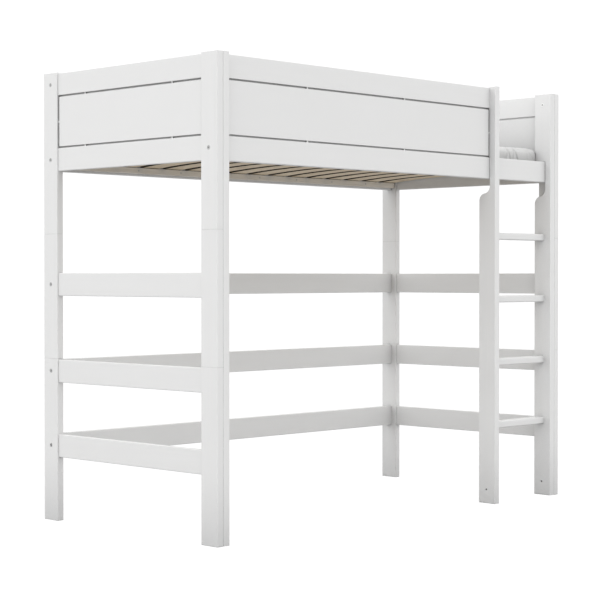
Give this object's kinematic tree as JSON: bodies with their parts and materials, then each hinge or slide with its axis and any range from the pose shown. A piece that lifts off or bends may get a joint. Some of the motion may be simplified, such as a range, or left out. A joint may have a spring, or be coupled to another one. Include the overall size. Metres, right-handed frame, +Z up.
{
  "type": "loft bed",
  "caption": "High sleeper bed of painted wood with slatted base, mattress, panelled guards and an upright ladder fixed at one end of the front.",
  "frame": {"origin": "centre of the overall outline at floor level", "axes": "+X along the long side towards the ladder end, +Y from the ladder side to the back, +Z up"},
  "size_m": [2.08, 1.032, 1.795],
  "materials": {
    "white_wood": "white satin lacquer on solid pine",
    "white_board": "white satin lacquer on board",
    "bare_pine": "untreated pine",
    "ledger_pine": "untreated pine",
    "steel": "zinc plated",
    "white_plastic": "white plastic",
    "mattress_fabric": "white cotton cover over foam"
  },
  "bodies": {
    "root": {"back_panel": "white_board", "back_rail_bed": "white_wood", "back_rail_high": "white_wood", "back_rail_low": "white_wood", "back_rail_mid": "white_wood", "back_rail_top": "white_wood", "barrel_nuts": "steel", "end_panel_left": "white_board", "end_panel_right": "white_board", "end_rail_left_bed": "white_wood", "end_rail_left_high": "white_wood", "end_rail_left_low": "white_wood", "end_rail_left_mid": "white_wood", "end_rail_left_top": "white_wood", "end_rail_right_bed": "white_wood", "end_rail_right_high": "white_wood", "end_rail_right_low": "white_wood", "end_rail_right_mid": "white_wood", "end_rail_right_top": "white_wood", "front_panel": "white_board", "front_rail_bed": "white_wood", "front_rail_top": "white_wood", "guard_bolts": "steel", "guard_insert": "white_plastic", "ledger_back": "ledger_pine", "ledger_front": "ledger_pine", "ledger_screws": "steel", "mattress": "mattress_fabric", "post_bolts": "steel", "post_left_back_lower": "white_wood", "post_left_back_middle": "white_wood", "post_left_back_upper": "white_wood", "post_left_front_lower": "white_wood", "post_left_front_middle": "white_wood", "post_left_front_upper": "white_wood", "post_right_back_lower": "white_wood", "post_right_back_middle": "white_wood", "post_right_back_upper": "white_wood", "post_right_front_lower": "white_wood", "post_right_front_middle": "white_wood", "post_right_front_upper": "white_wood", "rung_1": "white_wood", "rung_2": "white_wood", "rung_3": "white_wood", "rung_4": "white_wood", "slats": "bare_pine", "spacers_back": "white_plastic", "spacers_front": "white_plastic", "spacers_left": "white_plastic", "spacers_right": "white_plastic", "stile_guard": "white_wood", "stile_ladder_left": "white_wood", "stile_ladder_right": "white_wood"}
  },
  "joints": []
}
